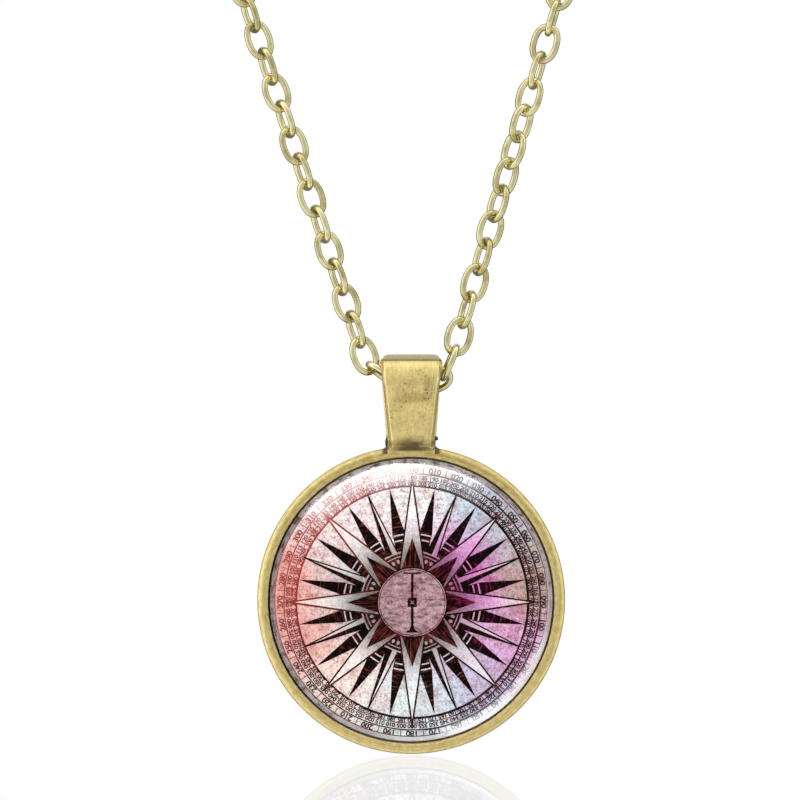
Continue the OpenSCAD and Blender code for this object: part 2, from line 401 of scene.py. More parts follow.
def setting_brass(finishes, wall_r):
    """Cast brass: smooth on the rim, grainy and pitted on the bail. Painted shade darkens the crease where
    the two are soldered, the bail's top edge, the upper rim and the rim's inner wall; painted highlights
    lighten the bail's bevels, and a painted reflection lies over its top.
    """
    material, graph, shader, place = shaded("setting_brass")
    sideways, height = graph.math("ABSOLUTE", graph.split(place, "X")), graph.split(place, "Z")
    wobble = graph.noise(place, 2.2, 3.0, 0.6)
    ragged = graph.vector("ADD", place, graph.join(wobble - 0.5, 0.0, wobble * 0.8 - 0.4))
    on_bail = graph.smooth(height, *BAIL_Z)
    bevel = graph.smooth(sideways - height * BAIL_TAPER, *BEVEL_HIGHLIGHT_FROM) * on_bail
    patches = graph.noise(place, 0.8, 3.0, 0.6)
    mottle = graph.noise(graph.stretched(place, (1.25, 1.0, 0.8)), 2.6, 3.0, 0.6)
    grain = graph.noise(place, 6.5, 2.0, 0.6)
    dark, pitted = bail_marks(graph, ragged)
    pits = {"Vector": place, "Scale": 3.1, "Randomness": 1.0}
    cells = graph.node("ShaderNodeTexVoronoi", {"feature": "F1"}, pits, "Distance")
    pit = (1 - graph.smooth(cells, 0.16, 0.36)) * pitted * on_bail

    smooth_grain = graph.smooth(grain * 0.6 + mottle * 0.4, 0.36, 0.62)
    drawn = graph.smooth(graph.noise(graph.stretched(place, (6.0, 1.0, 0.9)), 1.2, 2.0), 0.42, 0.6)
    rubbed = graph.smooth(graph.noise(polar_place(graph, place, 16.0, 3.0), 1.4, 4.0, 0.65), 0.4, 0.62)
    dull_bail = (1 - smooth_grain) * 0.3 + (1 - drawn) * 0.14 + dark
    # The rim grows darker towards its top: painted shade
    dull_rim = (1 - rubbed) * 0.3 + graph.smooth(height, 2.0, 12.0) * 0.26 + 0.12
    dull = on_bail * dull_bail + (1 - on_bail) * dull_rim + (1 - graph.smooth(patches, 0.34, 0.56)) * 0.16
    # The bevels are lightened: a painted highlight
    polish = graph.math("MAXIMUM", 1 - dull + bevel * 0.4, 0.0)
    tone = graph.mix(polish, tuple(finishes.tarnish), tuple(finishes.brass))

    # Over the bail's top edge a pale band is a painted reflection, and along the edge a dark line is painted
    # shade
    over_painted_light = height - TOP_PAINTED_LIGHT_Z
    tone = graph.mix(graph.smooth(over_painted_light, 0.0, 0.12) * 0.55, tone, screen(188, 182, 158))
    line = 1 - graph.smooth(graph.math("ABSOLUTE", over_painted_light + (wobble - 0.5) * 0.12), 0.03, 0.12)
    # Painted shade in the crease at the bail's foot, over the solder
    solder = spot(graph, ragged, *FOOT_CREASE_SHADE) * graph.smooth(height, *FOOT_Z)
    shade = graph.math("MAXIMUM", pit * 0.85, solder)
    # Along the bail's top edge: a dark line of painted shade
    shade = graph.math("MAXIMUM", shade, line * 0.7)
    shade = graph.math("MAXIMUM", shade, burnt_solder(graph, sideways, height))
    tone = graph.mix(shade, tone, tuple(finishes.solder))

    # The rim's inner wall is painted dark, darkest on the left: painted shade in the gap between the dome
    # and the rim
    left_wall_shade = graph.smooth((wobble - 0.5) * 2.0 - graph.split(place, "X"), *WALL_SHADE_LEFT_FROM)
    gap = graph.mix(left_wall_shade, screen(118, 100, 70), tuple(finishes.gap))
    graph.feed(shader.inputs["Base Color"], graph.mix(inner_wall(graph, place, wall_r), tone, gap))
    graph.feed(shader.inputs["Roughness"], 0.28 + on_bail * 0.07 + shade * 0.1 - bevel * 0.15)
    shader.inputs["Metallic"].default_value = 0.85
    relief = on_bail * (grain * 0.35 + mottle * 0.65) - pit * 1.6 + patches * 0.15
    set_bump(graph, shader, relief, 0.5, 0.035 * MM)
    return material


# Soft washes of colour on the printed paper: across and up from the middle in drawing units,
# radius, and the colour on a screen
WASHES = [
    (0, 95, 48, (252, 250, 250)),
    (-62, 72, 34, (252, 232, 230)),
    (-80, 44, 20, (252, 234, 230)),
    (-108, 22, 24, (238, 168, 156)),
    (-100, -40, 24, (238, 176, 166)),
    (-84, -6, 18, (248, 206, 198)),
    (-62, 2, 24, (168, 182, 186)),
    (-55, 40, 22, (206, 208, 212)),
    (-62, -74, 36, (250, 228, 216)),
    (-26, -84, 24, (234, 238, 238)),
    (14, -96, 40, (222, 234, 238)),
    (58, -78, 34, (196, 190, 220)),
    (86, -42, 30, (226, 168, 212)),
    (48, 14, 21, (222, 92, 206)),
    (44, 44, 25, (228, 112, 214)),
    (62, 82, 34, (188, 206, 224)),
    (106, 14, 26, (192, 164, 156)),
    (96, 62, 26, (196, 184, 188)),
    (0, 0, 26, (206, 168, 186)),
]


# Where the pale rays blush: across and up from the dial's middle, half width and half height, in millimetres
BLUSHES = [(4.2, 4.0, 3.4, 3.4), (5.4, 0.1, 3.2, 1.4)]

# The rubbed strip along the dial's edge, with painted reflection and painted shade under its rubbed marks:
# bright at the lower right, dark on the left
STRIP_SHADE_AND_REFLECTION = [
    (-69, -120, 30, (150, 138, 136)),
    (-131, -48, 30, (112, 94, 90)),
    (-131, 48, 30, (108, 88, 80)),
    (-70, 120, 30, (190, 180, 170)),
    (24, 137, 30, (178, 164, 154)),
    (106, 89, 30, (150, 124, 122)),
    (139, 0, 28, (150, 130, 132)),
    (120, -70, 26, (222, 214, 214)),
    (70, -120, 34, (255, 255, 255)),
    (8, -138, 24, (196, 190, 190)),
]


def washes(graph, place, unit, table=WASHES):
    """The wash of colour at a place, blended softly with ragged edges."""
    drift = graph.vector("SUBTRACT", graph.noise(place, 0.28, 4.0, 0.6, "Color"), (0.5, 0.5, 0.5))
    ragged = graph.vector("ADD", place, graph.scaled(drift, 3.4))
    flat = graph.stretched(ragged, (1, 0, 1))
    total, paint = 0.004, None
    for across, up, radius, tone in table:
        away = graph.vector("DISTANCE", flat, (across * unit, 0, up * unit), "Value")
        near = graph.math("EXPONENT", (away / (radius * unit)) ** 2 * -1.0)
        share = graph.scaled(screen(*tone), near)
        paint = share if paint is None else graph.vector("ADD", paint, share)
        total = near + total
    return graph.scaled(paint, 1 / total)


def veins(graph, place, scale, width):
    """1 on thin wandering lines, as of scratches and faded strokes."""
    line = graph.math("ABSOLUTE", graph.noise(place, scale, 3.0, 0.6) - 0.5)
    return 1 - graph.smooth(line, width * 0.3, width)


def aged(graph, place, tone, strength):
    """Adds stains, specks, scratches and faint rows of strokes to a paper's colour."""
    stains = graph.smooth(graph.noise(place, 0.8, 4.0, 0.7), 0.44, 0.62)
    specks = graph.smooth(graph.noise(place, 5.5, 4.0, 0.7), 0.5, 0.62)
    elsewhere = graph.vector("ADD", place, (31, 7, 13))
    bright = graph.smooth(graph.noise(elsewhere, 2.6, 3.0, 0.6), 0.56, 0.74)
    scratches = veins(graph, place, 1.5, 0.022) * graph.smooth(graph.noise(place, 0.6, 2.0), 0.46, 0.6)
    fibres = graph.smooth(graph.noise(graph.stretched(place, (1.6, 1.0, 9.0)), 1.3, 3.0), 0.54, 0.72)
    rows = graph.smooth(graph.math("ABSOLUTE", graph.math("SINE", graph.split(place, "Z") * 4.6)), 0.5, 0.85)
    script = graph.smooth(graph.noise(graph.stretched(place, (3.4, 1.0, 1.5)), 1.7, 2.0), 0.5, 0.6)
    tone = graph.stain(stains * 0.55 * strength, tone, 226, 190, 184)
    tone = graph.stain(specks * 0.7 * strength, tone, 176, 150, 152)
    tone = graph.stain(scratches * 0.5 * strength, tone, 120, 84, 84)
    tone = graph.stain(fibres * 0.24 * strength, tone, 150, 128, 136)
    tone = graph.stain(rows * script * 0.4 * strength, tone, 150, 140, 158)
    return graph.mix(bright * 0.3, tone, screen(255, 252, 250))


def matt(graph, shader, tone, roughness):
    """Feeds a shader that hardly shines."""
    graph.feed(shader.inputs["Base Color"], tone)
    shader.inputs["Roughness"].default_value = roughness
    shader.inputs["Specular IOR Level"].default_value = 0.03


def dial_paper(unit, strip):
    """Stained paper of the dial. Outside this radius lies a rubbed strip of painted shade and painted
    reflection, darker on the left and bright at the lower right.
    """
    material, graph, shader, place = shaded("dial_paper")
    tone = aged(graph, place, washes(graph, place, unit), 1.0)
    rubbed = graph.smooth(graph.noise(polar_place(graph, place, 7.0, 2.4), 2.0, 4.0, 0.7), 0.36, 0.56)
    strip_painted_light = washes(graph, place, unit, STRIP_SHADE_AND_REFLECTION)
    # The rubbed marks fade at the lower right, where the painted reflection lies
    reflection_side = graph.smooth(towards(graph, place, LOWER_RIGHT), 2.0, 9.0)
    rubbed = (1 - rubbed) * (1 - reflection_side * 0.85)
    # The strip's painted shade and painted reflection, darkened by the rubbed marks
    shade = graph.stain(rubbed, graph.mix(0.2, strip_painted_light, (1, 1, 1)), 78, 58, 54)
    edge = graph.smooth(radius_of(graph, place), strip - 0.03, strip + 0.03)
    matt(graph, shader, graph.mix(edge * 0.9, tone, shade), 0.7)
    return material


def ray_paper(name, unit, tint, share, shade):
    """Paper of the pale rays: tinted, and shaded towards the middle of the rose."""
    material, graph, shader, place = shaded(name)
    tone = graph.mix(share, washes(graph, place, unit), screen(*tint))
    for blush in BLUSHES:
        tone = graph.mix(spot(graph, place, *blush) * 0.55, tone, screen(230, 116, 214))
    streaks = graph.noise(polar_place(graph, place, 26.0, 0.5), 1.4, 4.0, 0.7)
    inner = 1 - graph.smooth(radius_of(graph, place) + (streaks - 0.5) * 3.0, 3.2, 7.4)
    tone = graph.stain(inner * shade, tone, 104, 84, 82)
    tone = graph.stain(graph.smooth(streaks, 0.5, 0.75) * 0.3, tone, 150, 138, 134)
    matt(graph, shader, aged(graph, place, tone, 0.6), 0.7)
    return material


def hub_paper():
    """Dusky paper of the hub, with faint level lines."""
    material, graph, shader, place = shaded("hub_paper")
    patches = graph.smooth(graph.noise(graph.stretched(place, (0.8, 1.0, 2.4)), 1.5, 5.0, 0.7), 0.34, 0.6)
    tone = graph.mix(patches, screen(118, 86, 86), screen(192, 158, 164))
    height = graph.split(place, "Z") + graph.noise(place, 1.1, 2.0) * 0.2
    lines = graph.smooth(graph.math("ABSOLUTE", graph.math("SINE", height * 9.0)), 0.12, 0.0)
    broken = graph.smooth(graph.noise(place, 3.4, 2.0), 0.46, 0.6)
    tone = graph.stain(lines * broken * 0.45, tone, 120, 84, 90)
    matt(graph, shader, aged(graph, place, tone, 0.8), 0.7)
    return material


def line_ink(finishes):
    """Ink of the outlines, rings and numbers: brown where it is worn, and red at the upper left."""
    material, graph, shader, place = shaded("line_ink")
    worn = graph.noise(place, 1.9, 3.0, 0.6)
    red = graph.smooth(towards(graph, place, UPPER_LEFT) + worn * 5.0, 5.0, 13.0)
    tone = graph.mix(red, tuple(finishes.ink), tuple(finishes.red))
    tone = graph.mix(graph.smooth(worn, 0.46, 0.66) * 0.6, tone, screen(116, 44, 36))
    matt(graph, shader, tone, 0.6)
    return material


def field_ink(name, unit, finishes, round_scale, out_scale, open_share):
    """Ink of the dark rays, hatched so that the paper shows between its strokes, red on the left and
    purple on the right."""
    material, graph, shader, place = shaded(name)
    strokes = graph.noise(polar_place(graph, place, round_scale, out_scale), 1.0, 2.0, 0.6)
    blotches = graph.noise(place, 1.6, 3.0, 0.65)
    gaps = graph.smooth(strokes * 0.75 + blotches * 0.25, 0.6 - open_share, 0.72 - open_share)
    between = graph.mix(1.0, washes(graph, place, unit), tuple(finishes.rust), "MULTIPLY")
    outer = graph.smooth(radius_of(graph, place), 6.5, 10.5)
    left = graph.smooth(towards(graph, place, UPPER_LEFT), 3.0, 9.0)
    between = graph.mix(outer * left * 0.75, between, tuple(finishes.red))
    right = graph.smooth(towards(graph, place, RIGHT), 2.0, 5.0)
    between = graph.mix(right * (1 - outer) * 0.45, between, screen(132, 30, 92))
    matt(graph, shader, graph.mix(gaps * 0.85, tuple(finishes.ink), between), 0.6)
    return material


def dome_glass(name, finishes, sizes):
    """Clear glass."""
    material, _, shader, _ = shaded(name)
    shader.inputs["Base Color"].default_value = (*finishes.glass, 1)
    shader.inputs["Roughness"].default_value = 0.0
    shader.inputs["IOR"].default_value = sizes.index
    shader.inputs["Transmission Weight"].default_value = 1.0
    return material


# Meshes

def in_scene(name, data):
    """A new object in the scene."""
    made = bpy.data.objects.new(name, data)
    bpy.context.scene.collection.objects.link(made)
    return made


def baked(holder):
    """The plain mesh of an object with its modifiers. The object itself goes."""
    bpy.context.view_layer.update()
    made = bpy.data.meshes.new_from_object(holder.evaluated_get(bpy.context.evaluated_depsgraph_get()))
    holder.modifiers.clear()
    bpy.data.objects.remove(holder)
    return made


def piece(name, points, faces, material, body, replaces=(), sharp=40):
    """A finished piece from its points and faces, that rides on a body."""
    mesh = bpy.data.meshes.new(name)
    mesh.from_pydata([tuple(p) for p in points], [], faces)
    return dressed(name, mesh, material, body, replaces, sharp)


def dressed(name, mesh, material, body, replaces=(), sharp=40):
    """Puts a mesh in the scene with its material, shading, body and slot."""
    mesh.validate()
    mesh.polygons.foreach_set("use_smooth", [True] * len(mesh.polygons))
    mesh.set_sharp_from_angle(angle=math.radians(sharp))
    mesh.materials.clear()
    mesh.materials.append(material)
    made = in_scene(name, mesh)
    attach(made, body)
    if replaces:
        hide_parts(*replaces)
    return made


def turned(profile, steps):
    """Points and faces of a solid turned about the dial's axis: radius and height over the tray's back."""
    points, faces, rows = [], [], []
    for radius, height in profile:
        y = TRAY_BACK - height
        if radius < 1e-9:
            rows.append([len(points)] * steps)
            points.append(Vector((0, y, DIAL_MID.z)))
            continue
        rows.append(list(range(len(points), len(points) + steps)))
        for k in range(steps):
            a = 2 * math.pi * k / steps
            points.append(Vector((radius * math.sin(a), y, DIAL_MID.z + radius * math.cos(a))))
    for low, high in zip(rows, rows[1:]):
        for k in range(steps):
            after = (k + 1) % steps
            loop = [low[k], high[k], high[after], low[after]]
            faces.append(list(dict.fromkeys(loop)))
    return points, faces


def arc(middle, radius, first, last, steps):
    """Points along an arc, angles in degrees."""
    angles = [math.radians(first + (last - first) * k / steps) for k in range(steps + 1)]
    return [(middle[0] + radius * math.cos(a), middle[1] + radius * math.sin(a)) for a in angles]


def repeated(name, mesh, tree, inputs):
    """The plain mesh that a Geometry Nodes tree makes of a mesh."""
    holder = in_scene(name + "_source", mesh)
    modifier = holder.modifiers.new("Repeat", "NODES")
    modifier.node_group = tree
    for item in tree.interface.items_tree:
        if item.in_out == "INPUT" and item.name in inputs:
            modifier[item.identifier] = inputs[item.name]
    return baked(holder)


def nodes_group(name, sockets):
    """An empty Geometry Nodes tree with these named inputs, its graph and its inputs by name."""
    tree = bpy.data.node_groups.new(name, "GeometryNodeTree")
    tree.interface.new_socket("Geometry", in_out="INPUT", socket_type="NodeSocketGeometry")
    for title, kind in sockets.items():
        tree.interface.new_socket(title, in_out="INPUT", socket_type="NodeSocket" + kind)
    tree.interface.new_socket("Geometry", in_out="OUTPUT", socket_type="NodeSocketGeometry")
    graph = Graph(tree)
    entry = tree.nodes.new("NodeGroupInput")
    given = {title: Socket(graph, entry.outputs[title]) for title in ["Geometry", *sockets]}
    return tree, graph, given


def end_group(graph, geometry, material):
    """Realizes the instances, sets the material and ends the tree."""
    real = graph.node("GeometryNodeRealizeInstances", {}, {"Geometry": geometry})
    painted = graph.node("GeometryNodeSetMaterial", {}, {"Geometry": real, "Material": material})
    leave = graph.tree.nodes.new("NodeGroupOutput")
    graph.feed(leave.inputs["Geometry"], painted)


def chain_tree():
    """Oval wire links on points, each turned as its point says."""
    sizes = {
        "Link length": "Float", "Link width": "Float", "Wire": "Float", "Fullness": "Float",
        "Segments": "Int", "Sides": "Int", "Material": "Material",
    }
    tree, graph, given = nodes_group("Chain links", sizes)
    circle = "GeometryNodeCurvePrimitiveCircle"
    ring = graph.node(circle, {}, {"Resolution": given["Segments"], "Radius": 1.0})
    place = graph.node("GeometryNodeInputPosition")

    def bowed(axis, outer):
        way = graph.split(place, axis)
        share = graph.math("ABSOLUTE", way) ** (2 / given["Fullness"])
        return share * graph.math("SIGN", way) * (outer - given["Wire"]) / 2

    oval = graph.join(bowed("X", given["Link width"]), 0.0, bowed("Y", given["Link length"]))
    line = graph.node("GeometryNodeSetPosition", {}, {"Geometry": ring, "Position": oval})
    section = graph.node(circle, {}, {"Resolution": given["Sides"], "Radius": given["Wire"] / 2})
    link = graph.node("GeometryNodeCurveToMesh", {}, {"Curve": line, "Profile Curve": section})
    turn = graph.node("GeometryNodeInputNamedAttribute", {"data_type": "FLOAT_VECTOR"}, {"Name": "turn"})
    placed = {"Points": given["Geometry"], "Instance": link, "Rotation": turn}
    links = graph.node("GeometryNodeInstanceOnPoints", {}, placed)
    end_group(graph, links, given["Material"])
    return tree


def print_tree():
    """A flat outline that is repeated round a middle and raised to a thin closed print."""
    sizes = {
        "Middle": "Vector", "Count": "Int", "First": "Float", "Step": "Float", "Height": "Float",
        "Material": "Material",
    }
    tree, graph, given = nodes_group("Printed repeat", sizes)
    lift = {"Offset": (0.0, -1.0, 0.0), "Offset Scale": given["Height"], "Individual": False}
    raised = graph.node("GeometryNodeExtrudeMesh", {}, {"Mesh": given["Geometry"], **lift})
    under = graph.node("GeometryNodeFlipFaces", {}, {"Mesh": given["Geometry"]})
    both = graph.tree.nodes.new("GeometryNodeJoinGeometry")
    graph.tree.links.new(raised.socket, both.inputs[0])
    graph.tree.links.new(under.socket, both.inputs[0])
    shell = {"Geometry": Socket(graph, both.outputs[0]), "Distance": 1e-7}
    closed = graph.node("GeometryNodeMergeByDistance", {}, shell)
    copies = {"Count": given["Count"], "Start Location": given["Middle"], "Offset": (0, 0, 0)}
    line = graph.node("GeometryNodeMeshLine", {}, copies)
    angle = given["First"] + graph.node("GeometryNodeInputIndex") * given["Step"]
    placed = {"Points": line, "Instance": closed, "Rotation": graph.join(0.0, angle, 0.0)}
    prints = graph.node("GeometryNodeInstanceOnPoints", {}, placed)
    end_group(graph, prints, given["Material"])
    return tree


# The chain's way, repeated from the model in millimetres

# Links inside the bail: across and up from the swing axis as shares of the spacing, then the bearing and
# the turn in degrees. The first few belong to the left strand
BAIL_LINKS = [
    (-1.68, 0.95, -70, 202),
    (-1.02, 0.28, -35, 102),
    (-0.17, -0.03, -1, 221),
    (0.78, 0.07, 13, 335),
    (1.39, 0.70, 67, 445),
    (1.72, 1.64, 74, 525),
]
BAIL_LEFT = 3
# Points that the strands pass on their way to the nape
LEFT_WAY = [
    (-14.05, -78, -132.2), (-22.4, -78, -107.2), (-31.3, -76.5, -82), (-40.8, -71, -58), (-49, -60, -38),
    (-54.5, -45, -22.5), (-53.5, -29, -12.5), (-45, -14.5, -6), (-31, -4.5, -1.8), (-17, -0.6, -0.2),
]
RIGHT_WAY = [
    (12.45, -78, -132.2), (20, -78, -107.2), (28.7, -76.5, -82), (38.9, -71, -58), (48.6, -60, -38),
    (54.5, -45, -22.5), (53.5, -29, -12.5), (45, -14.5, -6), (31, -4.5, -1.8), (17, -0.6, -0.2),
]
# Twist of each strand: numbers of links, and the degrees that they are turned further
LEFT_TWIST = ([0, 14], [-6, -13])
RIGHT_TWIST = ([0, 3, 7, 10], [-3, -10, -27, -58])
# Links before the nape over which a strand turns until it lies flat
UNWIND = 70
# Steps of a curve from one of its points to the next
CURVE_STEPS = 16
# Half width and half depth of the neck
NECK_HALF = (56, 39)


def direction(v):
    """A vector of length 1 in the same direction."""
    return v / np.linalg.norm(v)


def smooth_curve(chosen):
    """Points of a smooth curve through the chosen points."""
    p = [np.array(q, float) for q in chosen]
    gaps = [np.linalg.norm(b - a) for a, b in zip(p, p[1:])]
    slopes = [direction(p[1] - p[0])]
    for i in range(1, len(p) - 1):
        before, after = gaps[i - 1], gaps[i]
        mean = (p[i] - p[i - 1]) * after / before + (p[i + 1] - p[i]) * before / after
        slopes.append(mean / (before + after))
    slopes.append(direction(p[-1] - p[-2]))
    out = []
    for i, gap in enumerate(gaps):
        for f in np.arange(CURVE_STEPS) / CURVE_STEPS:
            out.append(
                p[i] * (2 * f**3 - 3 * f**2 + 1) + slopes[i] * gap * (f**3 - 2 * f**2 + f)
                + p[i + 1] * (3 * f**2 - 2 * f**3) + slopes[i + 1] * gap * (f**3 - f**2)
            )
    return np.array(out + [p[-1]])


def handovers(chosen, pitch):
    """Points at even distances along the curve, where one link hands over to the next."""
    c = smooth_curve(chosen)
    s = np.concatenate([[0], np.cumsum(np.linalg.norm(np.diff(c, axis=0), axis=1))])
    count = math.ceil(s[-1] / pitch)
    stops = np.linspace(0, s[-1], count + 1)
    return np.array([np.interp(stops, s, c[:, k]) for k in range(3)]).T


def outward(p):
    """Level, outward from the neck: the way that a link faces at no turn."""
    return direction(np.array([p[0] / NECK_HALF[0] ** 2, (p[1] + NECK_HALF[1]) / NECK_HALF[1] ** 2, 0]))


def link_place(middle, way, out, turn):
    """A link's middle and its turn as angles: upright along way, turned about it from facing out."""
    flat = direction(out - (out @ way) * way)
    a = math.radians(turn)
    face = math.cos(a) * flat + math.sin(a) * np.cross(flat, way)
    side = np.cross(face, way)
    return middle * MM, Matrix(np.array([side, face, way]).T.tolist()).to_euler()


class ChainPlan:
    """Places of all links, worked out from the chain's sizes as in the model."""

    def __init__(self, sizes):
        self.pitch = sizes.spacing / MM
        self.seat = sizes.seat / MM

    def bail_link(self, row):
        way = np.array([math.cos(math.radians(row[2])), 0, math.sin(math.radians(row[2]))])
        middle = np.array(SWING) / MM + self.pitch * np.array([row[0], 0, row[1]])
        return middle, way

    def bail_links(self, rows):
        return [link_place(*self.bail_link(row), np.array([0, -1.0, 0]), row[3]) for row in rows]

    def strand(self, chosen, first_turn, twist):
        """A strand along its chosen points, which ends flat at the nape."""
        p = handovers(chosen, self.pitch)
        last = len(p) - 2
        end_turn = first_turn + 90 * last
        flat = round((end_turn + np.interp(last, *twist)) / 180) * 180 - end_turn
        start = max(0, last - UNWIND)
        links = []
        for i in range(last + 1):
            unwound = max(0, (i - start) / (last - start))
            extra = np.interp(i, *twist) * (1 - unwound) + flat * unwound
            middle, way = (p[i] + p[i + 1]) / 2, direction(p[i + 1] - p[i])
            links.append(link_place(middle, way, outward(middle), first_turn + 90 * i + extra))
        return links

    def left(self):
        """The left strand ends in the ring at the clasp's eye."""
        low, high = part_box("clasp_ring")
        ring_wire = (high.z - low.z) / MM
        row = BAIL_LINKS[0]
        middle, way = self.bail_link(row)
        end = (low.x / MM + ring_wire / 2 + self.seat, 0, 0)
        chosen = [middle - way * self.pitch / 2, *LEFT_WAY, end]
        return self.bail_links(BAIL_LINKS[:BAIL_LEFT]) + self.strand(chosen, 90 - row[3], LEFT_TWIST)

    def right(self):
        """The right strand ends in the ring that the clasp hooks into."""
        low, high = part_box("end_ring")
        ring_wire = (high.z - low.z) / MM
        row = BAIL_LINKS[-1]
        middle, way = self.bail_link(row)
        end = (high.x / MM - ring_wire / 2 - self.seat, 0, 0)
        chosen = [middle + way * self.pitch / 2, *RIGHT_WAY, end]
        return self.bail_links(BAIL_LINKS[BAIL_LEFT:]) + self.strand(chosen, row[3] + 90, RIGHT_TWIST)

    def extension(self):
        """The extension hangs down from the back of the end ring."""
        low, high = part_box("end_ring")
        ring_wire = (high.z - low.z) / MM
        ring_y = (high.y - low.y) / MM / 2 - ring_wire / 2
        bottom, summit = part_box("extender_chain")
        count = round((summit.z - bottom.z) / MM / self.pitch - 0.5)
        top = np.array([(low.x + high.x) / 2 / MM, ring_y, self.seat])
        down, facing = np.array([0, 0, -1.0]), np.array([1.0, 0, 0])
        return [link_place(top + down * self.pitch * (i + 0.5), down, facing, 90 * i) for i in range(count)]


def points_mesh(name, links):
    """Points with a turn each, for the chain tree."""
    mesh = bpy.data.meshes.new(name)
    mesh.from_pydata([tuple(middle) for middle, _ in links], [], [])
    turns = mesh.attributes.new("turn", "FLOAT_VECTOR", "POINT")
    for item, (_, turn) in zip(turns.data, links):
        item.vector = turn
    return mesh


class PENDANT_OT_chain(bpy.types.Operator):
    """Builds the strands and the extension chain out of oval wire links"""

    bl_idname = "pendant.chain"
    bl_label = "Chain"

    def execute(self, context):
        sizes, finishes = context.scene.chain_sizes, context.scene.finishes
        metal = chain_brass(finishes)
        tree, plan = chain_tree(), ChainPlan(sizes)
        inputs = {
            "Link length": sizes.link_length, "Link width": sizes.link_width, "Wire": sizes.wire,
            "Fullness": sizes.fullness, "Segments": sizes.segments, "Sides": sizes.sides, "Material": metal,
        }
        strands = {
            "chain_left": plan.left(), "chain_right": plan.right(), "extender_chain": plan.extension(),
        }
        for node, links in strands.items():
            mesh = repeated(node, points_mesh(node, links), tree, inputs)
            for extra in [a for a in mesh.attributes if a.name == "turn"]:
                mesh.attributes.remove(extra)
            dressed(node + "_links", mesh, metal, "chain", [node], sharp=60)
        return {"FINISHED"}


# Steps round a ring and round its wire
RING_STEPS, WIRE_STEPS = 72, 16
# Softening of the clasp: its grid, and rounds of smoothing
CLASP_GRID, CLASP_ROUNDS = 0.1 * MM, 6


class PENDANT_OT_fastening(bpy.types.Operator):
    """Builds the two rings and the clasp with softened edges"""

    bl_idname = "pendant.fastening"
    bl_label = "Clasp and rings"

    def execute(self, context):
        metal = bpy.data.materials["chain_brass"]
        for node in ("clasp_ring", "end_ring"):
            low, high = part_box(node)
            thick = (high.z - low.z) / 2
            middle, radius = (low + high) / 2, (high.x - low.x) / 2 - thick
            bpy.ops.mesh.primitive_torus_add(
                major_radius=radius, minor_radius=thick, major_segments=RING_STEPS, minor_segments=WIRE_STEPS
            )
            made = context.active_object
            mesh = made.data.copy()
            bpy.data.objects.remove(made)
            mesh.transform(Matrix.Translation(middle))
            dressed(node + "_wire", mesh, metal, "chain", [node], sharp=180)
        soft = softened("clasp", CLASP_GRID, CLASP_ROUNDS)
        dressed("clasp_body", soft, metal, "chain", ["clasp"], sharp=180)
        return {"FINISHED"}


def softened(node, voxel, rounds):
    """A copy of a CAD node's mesh, with its edges rounded off."""
    mesh = frame["nodes"][node].data.copy()
    work = bmesh.new()
    work.from_mesh(mesh)
    bmesh.ops.remove_doubles(work, verts=work.verts, dist=1e-6)
    work.to_mesh(mesh)
    work.free()
    holder = in_scene(node + "_soft", mesh)
    remesh = holder.modifiers.new("Remesh", "REMESH")
    remesh.mode, remesh.voxel_size = "VOXEL", voxel
    smooth = holder.modifiers.new("Smooth", "SMOOTH")
    smooth.factor, smooth.iterations = 0.5, rounds
    return baked(holder)


# Steps round the tray
TRAY_STEPS = 256
# Rounding of the rim's shoulder and crown, in millimetres: radius, how far in and how far under the rim's
# top their middles lie, and the angles between which they run
SHOULDER = (0.3, 0.3, 0.52, 0, 64)
CROWN = (0.5, 0.58, 0.5, 52, 98)
# The rim's inner lip, in millimetres: how far out from its inner wall and how far under its top
LIP = [(0.14, 0.05), (0.06, 0.09), (0, 0.17)]


def tray_profile(sizes):
    """Half section of the tray from the middle of its back round the rim to the middle of its floor."""
    edge, depth, outer = sizes.edge, sizes.depth, TRAY_R
    inner = outer - sizes.wall

    def rounded(shape, steps):
        radius, inward, under, first, last = shape
        return arc((outer - inward * MM, depth - under * MM), radius * MM, first, last, steps)

    back = arc((outer - edge, edge), edge, -90, 0, 6)
    lip = [(inner + out * MM, depth - under * MM) for out, under in LIP]
    return [
        (0, 0), (inner * 0.5, 0), *back, *rounded(SHOULDER, 5), *rounded(CROWN, 7), *lip,
        (inner, sizes.floor), (0, sizes.floor),
    ]


# The bail's bevel, as shares of its width: across from the flat front, and back from it
BEVEL = [(0.12, 0.06), (0.3, 0.24), (0.62, 0.6), (0.86, 0.86), (0.97, 1.06), (1, 1.3)]


# Rounding of the strip's inner edges, and how far its outer face is crowned
INNER_EDGE = 0.1 * MM
CAMBER = 0.03 * MM
# Cross-sections of each half of the strip: beside the solder, up the leg and round the bend
BY_SOLDER, ON_LEG, ON_BEND = 14, 16, 24
# How far up the close cross-sections go and how thick the solder is, as shares of its rounding
CLOSE_TO, SOLDER_THICK = 2.4, 0.8


